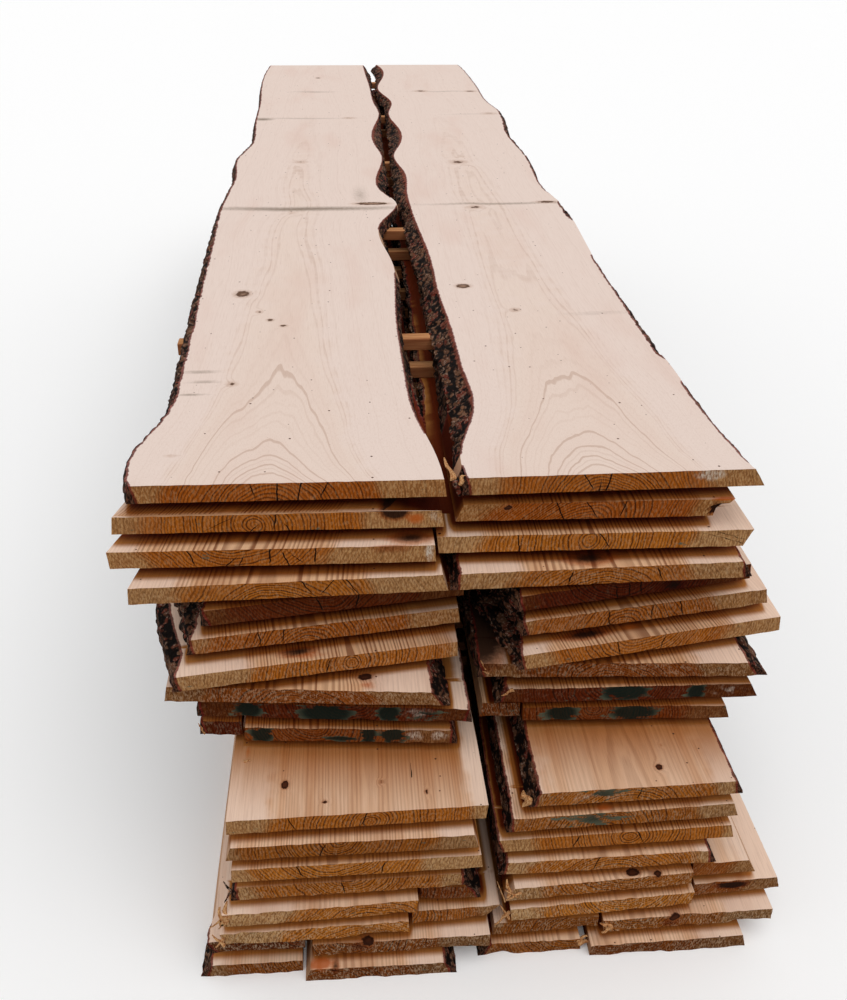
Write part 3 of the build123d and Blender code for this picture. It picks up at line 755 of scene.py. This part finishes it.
def wood_material(name, part):
    """part is upper for the bleached top, face for a sawn face, end or edge."""
    w = Weave(bpy.data.materials.new(name))
    log = w.attribute("log_place")
    place = w.node("TexCoord", {}).outputs["Object"]
    look = w.attribute("board_look", "Color")
    warmth, speckle, clear = (w.part(look, i) for i in range(3))
    shade = w.attribute("board_look", "Alpha")
    crack = w.attribute("cracks")
    wear = w.attribute("wear", "Color")
    knot, stain, paint = (w.part(wear, i) for i in range(3))
    resin = w.attribute("wear", "Alpha")
    late, heart, zone = rings(w, log)
    fibre = w.noise(w.scaled(log, (1.0, 1.0, 0.02)), 700.0, 2.0, 0.6)
    blotch = w.noise(w.scaled(log, (1.0, 1.0, 0.25)), 9.0, 2.0, 0.6)
    rough = w.noise(place, 110.0, 3.0, 0.65)
    ragged = w.spread(rough, 0.36, -0.18)
    upper = part == "upper"
    sap_lines = 0.15
    if upper:
        sap, core, line = tone(231, 211, 200), tone(230, 209, 196), tone(168, 130, 106)
        band, band_share, line_share = tone(224, 198, 184), 0.2, 0.42
        late = w.step(late, 0.45, 1.0)
    elif part == "end":
        sap = w.mix(warmth, tone(190, 146, 98), tone(166, 110, 60))
        core = w.mix(warmth, tone(196, 120, 36), tone(166, 82, 14))
        band, band_share, line, line_share = tone(140, 70, 20), 0.3, tone(62, 24, 3), 0.95
        sap_lines = 0.45
    else:
        sap, core, line = tone(238, 208, 186), tone(232, 188, 148), tone(120, 64, 32)
        band, band_share, line_share = tone(214, 160, 116), 0.4, w.times(clear, 0.85)
        core = w.mix(w.spread(clear, 0.7, 0.3), sap, core)
    colour = w.mix(heart, sap, w.mix(w.times(zone, band_share), core, band))
    sap_fade = w.spread(heart, 1 - sap_lines, sap_lines)
    colour = w.mix(w.times(w.times(late, line_share), sap_fade), colour, line)
    colour = w.tint(colour, fibre, 0.45, 0.75, 0.14 if upper else 0.2, line)
    colour = w.tint(colour, blotch, 0.5, 0.8, *((0.25, tone(214, 176, 160)) if upper else
                                                (0.4, tone(166, 104, 60))))
    height = fibre
    if part == "end":
        turn = w.plus(w.part(crack, 0), w.spread(w.noise(place, 70.0, 2.0), 0.22, 0.39))
        off = w.math("ABSOLUTE", w.math("SUBTRACT", w.math("FRACT", turn), 0.5))
        check = w.math("SUBTRACT", w.part(crack, 1), w.step(off, 0.024, 0.052), clamp=True)
        saw = w.noise(w.scaled(place, (1.0, 1.0, 0.35)), 380.0, 3.0, 0.7)
        coarse = w.spread(heart, -0.22, 0.38)
        colour = w.tint(colour, saw, 0.46, 0.62, coarse, tone(92, 48, 18))
        colour = w.tint(colour, saw, 0.5, 0.38, coarse, tone(208, 168, 116))
        # Each board's end is drawn darker and browner by its shade value.
        colour = w.mix(shade, colour, w.mix(1.0, colour, tone(134, 94, 50), "MULTIPLY"))
        amount = w.times(speckle, w.step(rough, 0.38, 0.62))
        colour = w.tint(colour, saw, 0.54, 0.44, w.times(amount, 0.5), tone(210, 186, 156))
        colour = w.tint(colour, saw, 0.54, 0.64, w.times(amount, 0.8), tone(60, 36, 20))
        pale = w.plus(w.times(resin, -1.0), w.spread(w.noise(place, 60.0, 3.0), 1.0, -0.5))
        colour = w.tint(colour, pale, 0.2, 0.7, w.step(saw, 0.7, 0.3), tone(206, 192, 176))
        colour = w.mix(check, colour, tone(20, 8, 3))
        height = saw
    else:
        if part == "face":
            colour = in_shade(w, colour)
        if part != "edge":
            specks = w.node("TexVoronoi", {"Vector": place, "Scale": 30.0}, voronoi_dimensions="2D",
                            feature="F1")
            size = w.spread(w.part(specks.outputs["Color"], 1), 0.06, 0.01)
            near = w.math("SUBTRACT", size, specks.outputs["Distance"])
            chosen = w.step(w.part(specks.outputs["Color"], 0), 0.80, 0.82)
            colour = w.tint(colour, near, 0.0, 0.02, chosen, tone(84, 52, 38))
    # Grey whorl lines, wet or dirty wood, and painted shade in notches, holes and under flared bark
    stain_and_shade_mark = w.plus(stain, ragged)
    if upper:
        colour = w.tint(colour, stain_and_shade_mark, 0.12, 0.9, 0.85, tone(124, 108, 92))
    else:
        stain_and_shade_tint = w.mix(1.0, colour, tone(200, 140, 90), "MULTIPLY")
        colour = w.tint(colour, stain_and_shade_mark, 0.04, 0.45, 0.75, stain_and_shade_tint)
        colour = w.tint(colour, stain_and_shade_mark, 0.30, 0.80, 0.92, tone(24, 11, 6))
    colour = w.tint(colour, w.plus(resin, ragged), 0.25, 0.7, 0.85, tone(182, 88, 28))
    # Knots: a dark ring about a brown heart
    knot = w.plus(knot, ragged)
    halo, ring, core = (((190, 158, 138), (98, 72, 56), (160, 128, 108)) if upper else
                        ((150, 84, 44), (52, 24, 12), (80, 40, 22)))
    colour = w.tint(colour, knot, 0.18, 0.46, 0.5, tone(*halo))
    colour = w.mix(w.step(knot, 0.42, 0.52), colour, tone(*ring))
    colour = w.tint(colour, knot, 0.60, 0.74, 0.7, tone(*core))
    if part == "end":
        streaks = w.noise(w.scaled(place, (0.6, 1.0, 1.4)), 60.0, 3.0, 0.6)
        smear = w.plus(paint, w.spread(streaks, 1.8, -0.9))
        worn = w.mix(w.step(paint, 0.20, 0.60), tone(84, 92, 76), tone(12, 28, 23))
        colour = w.tint(colour, smear, 0.30, 0.50, 0.93, worn)
    # Bark and the red line of inner bark under it
    under = w.attribute("under_bark", "Fac")
    rim = w.plus(under, w.spread(rough, 0.005, -0.0025))
    inner = w.inverse(w.step(rim, 0.0014, 0.0034))
    outer = w.inverse(w.step(rim, -0.0026, -0.0006))
    if part == "edge":
        streak = w.noise(w.scaled(place, (1.0, 0.08, 1.0)), 60.0, 2.0)
        colour = w.mix(0.75, colour, w.mix(streak, tone(212, 164, 122), tone(138, 86, 52)))
        colour = in_shade(w, colour)
    if part == "end":
        bark_colour = w.mix(w.step(saw, 0.45, 0.6), tone(30, 15, 9), tone(96, 62, 46))
    else:
        bark_colour, bark_height = bark_look(w, place)
        height = w.spread(w.times(bark_height, outer), 5.0, fibre)
    inner_bark = w.mix(w.step(rough, 0.4, 0.7), tone(84, 20, 14), tone(140, 62, 48))
    colour = w.mix(w.times(inner, 0.9), colour, inner_bark)
    colour = w.mix(outer, colour, bark_colour)
    return w.finish(colour, height)


# Splinters, chips and torn bits of bark at the ends. x is metres from the
# stack's middle line, back behind the board's near end and up above its lower
# face; then width, length and height, how far each points back, right and up,
# and whether it is bark.
Chip = namedtuple("Chip", "x back up wide long high lean_back lean_right lean_up bark",
                  defaults=(False,))

chips = by_board({
    "01_right": (
        (.006, .04, .026, .01, .07, .006, 1, -.15, 0),
        (.022, .006, .026, .012, .02, .01, .3, .3, .6),
        (.016, .004, .012, .014, .028, .014, 0, .2, -.8, True)),
    "08_right": (
        (.072, .002, .028, .006, .024, .004, -.2, -.3, .8),
        (.078, 0, .012, .006, .02, .004, -.4, -.4, .5)),
    "09_right": ((.116, -.002, .026, .008, .024, .005, -.2, -.8, -.4),),
    "10_left_outer": (
        (-.42, 0, .02, .005, .014, .004, .1, -.4, .9),
        (-.416, -.002, .01, .005, .012, .004, -.1, -.3, .8)),
    "11_left": (
        (-.339, .136, .031, .007, .012, .003, .1, 1, .1),
        (-.056, .091, .0305, .002, .034, .001, 1, 0, 0, True)),
    "11_right": ((.134, .01, .014, .018, .026, .018, .9, -.3, .1),),
    "14_left": (
        (-.374, .002, .03, .007, .034, .006, .1, -.5, .9, True),
        (-.378, 0, .01, .006, .03, .005, 0, -.4, -.8, True)),
    "15_left_outer": (
        (-.384, .006, .03, .014, .048, .006, .3, .1, .9),
        (-.392, .002, .026, .013, .042, .005, .2, -.1, .9),
        (-.398, 0, .014, .01, .04, .006, 0, -.6, -.5),
        (-.388, .001, .012, .01, .034, .006, -.2, -.5, -.7)),
    "16_left_outer": (
        (-.402, .001, .018, .009, .034, .006, 0, -.4, .6),
        (-.4, 0, .012, .007, .024, .005, -.2, -.5, -.6)),
    "15_right_inner": (
        (.112, .004, .032, .012, .034, .006, .2, -.2, .9),
        (.118, 0, .02, .007, .036, .005, -.2, -.6, .7),
        (.1, .004, .022, .004, .05, .003, .1, -.3, .9),
        (.122, -.001, .014, .006, .03, .005, -.3, -.8, -.2)),
    "16_right_inner": (
        (.108, .002, .026, .007, .04, .005, 0, -.4, .8),
        (.104, 0, .01, .009, .04, .005, -.1, -.6, -.7)),
    "17_right_outer": (
        (.3, 0, .022, .014, .024, .008, -.2, -.8, .4),
        (.303, -.002, .01, .012, .022, .008, -.3, -.7, -.3)),
    "18_right_inner": (
        (.266, .004, .018, .014, .026, .01, .1, .8, -.1),
        (.262, .006, .026, .012, .024, .008, .2, .7, .2)),
})


def make_chips(node, wood, bark):
    """The splinters of one board, each a tapered sliver with a bend in it."""
    low, _, edges = live_edges(node)
    left, right = (edge[3][0] for edge in edges)
    mesh = bpy.data.meshes.new(node + "_chips")
    all_chips = bmesh.new()
    for count, chip in enumerate(Chip(*row) for row in chips[node]):
        bm = bmesh.new()
        bmesh.ops.create_cone(bm, cap_ends=True, segments=6, radius1=0.5, radius2=0.14, depth=1)
        sides = [e for e in bm.edges if abs(e.verts[0].co.z - e.verts[1].co.z) > 0.5]
        bmesh.ops.subdivide_edges(bm, edges=sides, cuts=4)
        aim = Vector((chip.lean_right, chip.lean_back, chip.lean_up)).to_track_quat("Z", "Y").to_matrix()
        y = np.interp(chip.x + middle, (left[0], right[0]), (left[1], right[1])) + chip.back
        place = Vector((middle + chip.x, y, low + chip.up))
        for number, vertex in enumerate(sorted(bm.verts, key=lambda v: (round(v.co.z, 3), v.co.x, v.co.y))):
            wave = math.sin(number * 12.9 + count * 4.1)
            bend = 0.12 * chip.wide * math.sin(9 * vertex.co.z)
            body = Vector((vertex.co.x * chip.wide * (1 + 0.3 * wave) + bend,
                           vertex.co.y * chip.high * (1 + 0.3 * math.cos(number * 7.7)),
                           vertex.co.z * chip.long))
            vertex.co = aim @ body + place
            vertex.co.y = max(vertex.co.y, cad_box[0][1])
            vertex.co.z = min(vertex.co.z, cad_box[1][2])
        for face in bm.faces:
            face.material_index = int(chip.bark)
        bm.to_mesh(mesh)
        bm.free()
        all_chips.from_mesh(mesh)
    all_chips.to_mesh(mesh)
    all_chips.free()
    piece = add_object(node + "_chips", mesh, (wood, bark))
    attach(piece, "root")


def chip_material(name, is_bark):
    w = Weave(bpy.data.materials.new(name))
    place = w.node("TexCoord", {}).outputs["Object"]
    if is_bark:
        colour, height = bark_look(w, place)
    else:
        height = w.noise(w.scaled(place, (1.0, 1.0, 0.3)), 420.0, 3.0, 0.7)
        colour = w.mix(w.step(height, 0.35, 0.65), tone(150, 88, 44), tone(208, 164, 116))
    return w.finish(colour, height)


def stick_material():
    w = Weave(bpy.data.materials.new("stick_pine"))
    place = w.node("TexCoord", {}).outputs["Object"]
    grain = w.noise(w.scaled(place, (0.05, 1.0, 1.0)), 260.0, 4.0, 0.6)
    patch = w.noise(place, 9.0, 2.0)
    colour = w.mix(w.step(grain, 0.35, 0.7), tone(208, 152, 100), tone(150, 92, 50))
    colour = w.mix(w.times(patch, 0.4), colour, tone(150, 88, 48))
    # Painted shade: faces that look to the front are drawn darker and redder.
    painted_front_shade = w.part(w.node("NewGeometry", {}).outputs["Normal"], 1)
    colour = w.tint(colour, painted_front_shade, -0.5, -0.8, 0.7, tone(126, 66, 36))
    return w.finish(colour, grain, 0.8, 0.25)


arris = 0.0015
near_a_level = 0.001


def make_sticks(node, material):
    """One row of sticks: sawn blocks with worn arrises."""
    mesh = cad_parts[node].data
    points = np.array([v.co for v in mesh.vertices])
    levels = sorted({round(z, 3) for z in points[:, 2]})
    bm = bmesh.new()
    for low, high in zip(levels[::2], levels[1::2]):
        stick = points[(points[:, 2] > low - near_a_level) & (points[:, 2] < high + near_a_level)]
        start, end = stick.min(0), stick.max(0)
        made = bmesh.ops.create_cube(bm, size=1.0)["verts"]
        bmesh.ops.scale(bm, verts=made, vec=end - start)
        bmesh.ops.translate(bm, verts=made, vec=(start + end) / 2)
        bmesh.ops.bevel(bm, geom=list({e for v in made for e in v.link_edges}), offset=arris, segments=1,
                        profile=0.5, affect="EDGES", material=-1)
    made = bpy.data.meshes.new(node + "_wood")
    bm.to_mesh(made)
    bm.free()
    row = add_object(node + "_wood", made, (material,))
    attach(row, "root")
    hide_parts(node)


stick_rows = 5
floor_size = 60
sky_strength, backdrop_strength = 0.60, 1.0
sun_strength, sun_spread, sun_tilt = 1.35, 60, (26, 8)    # in watts a square metre, then degrees

make_camera()
sawn_face = wood_material("sawn_face", "face")
upper_face = wood_material("weathered_face", "upper")
end_grain = wood_material("end_grain", "end")
live_edge = wood_material("live_edge", "edge")
for index, node in enumerate(sorted(board_looks)):
    face = upper_face if node.startswith("board_01") else sawn_face
    make_board(node, index, (face, end_grain, live_edge))
torn_wood, torn_bark = chip_material("torn_wood", False), chip_material("torn_bark", True)
for node in sorted(chips):
    make_chips(node, torn_wood, torn_bark)
stick_pine = stick_material()
for row in range(stick_rows):
    make_sticks(f"sticks_row_{row + 1}", stick_pine)

bpy.ops.mesh.primitive_plane_add(size=floor_size)
floor = bpy.context.object
floor.name = "floor"
w = Weave(bpy.data.materials.new("pale_floor"))
light_path = w.node("LightPath", {})
w.put(w.shader.inputs["Base Color"], w.mix(light_path.outputs["Is Camera Ray"], tone(150, 148, 145),
                                           tone(255, 255, 255)))
w.put(w.shader.inputs["Roughness"], 0.9)
floor.data.materials.append(w.owner)

w = Weave(bpy.data.worlds.new("world"), "Background")
bpy.context.scene.world = w.owner
light_path = w.node("LightPath", {})
seen = w.math("ADD", light_path.outputs["Is Camera Ray"], light_path.outputs["Is Glossy Ray"], clamp=True)
strength = w.node("MapRange", {"Value": seen, "To Min": sky_strength, "To Max": backdrop_strength})
w.put(w.shader.inputs["Color"], (1, 1, 1, 1))
w.put(w.shader.inputs["Strength"], strength.outputs["Result"])

sun = bpy.data.lights.new("sky_light", "SUN")
sun.energy = sun_strength
sun.angle = math.radians(sun_spread)
add_object("sky_light", sun).rotation_euler = (*map(math.radians, sun_tilt), 0)
bpy.context.scene.view_settings.view_transform = "Standard"
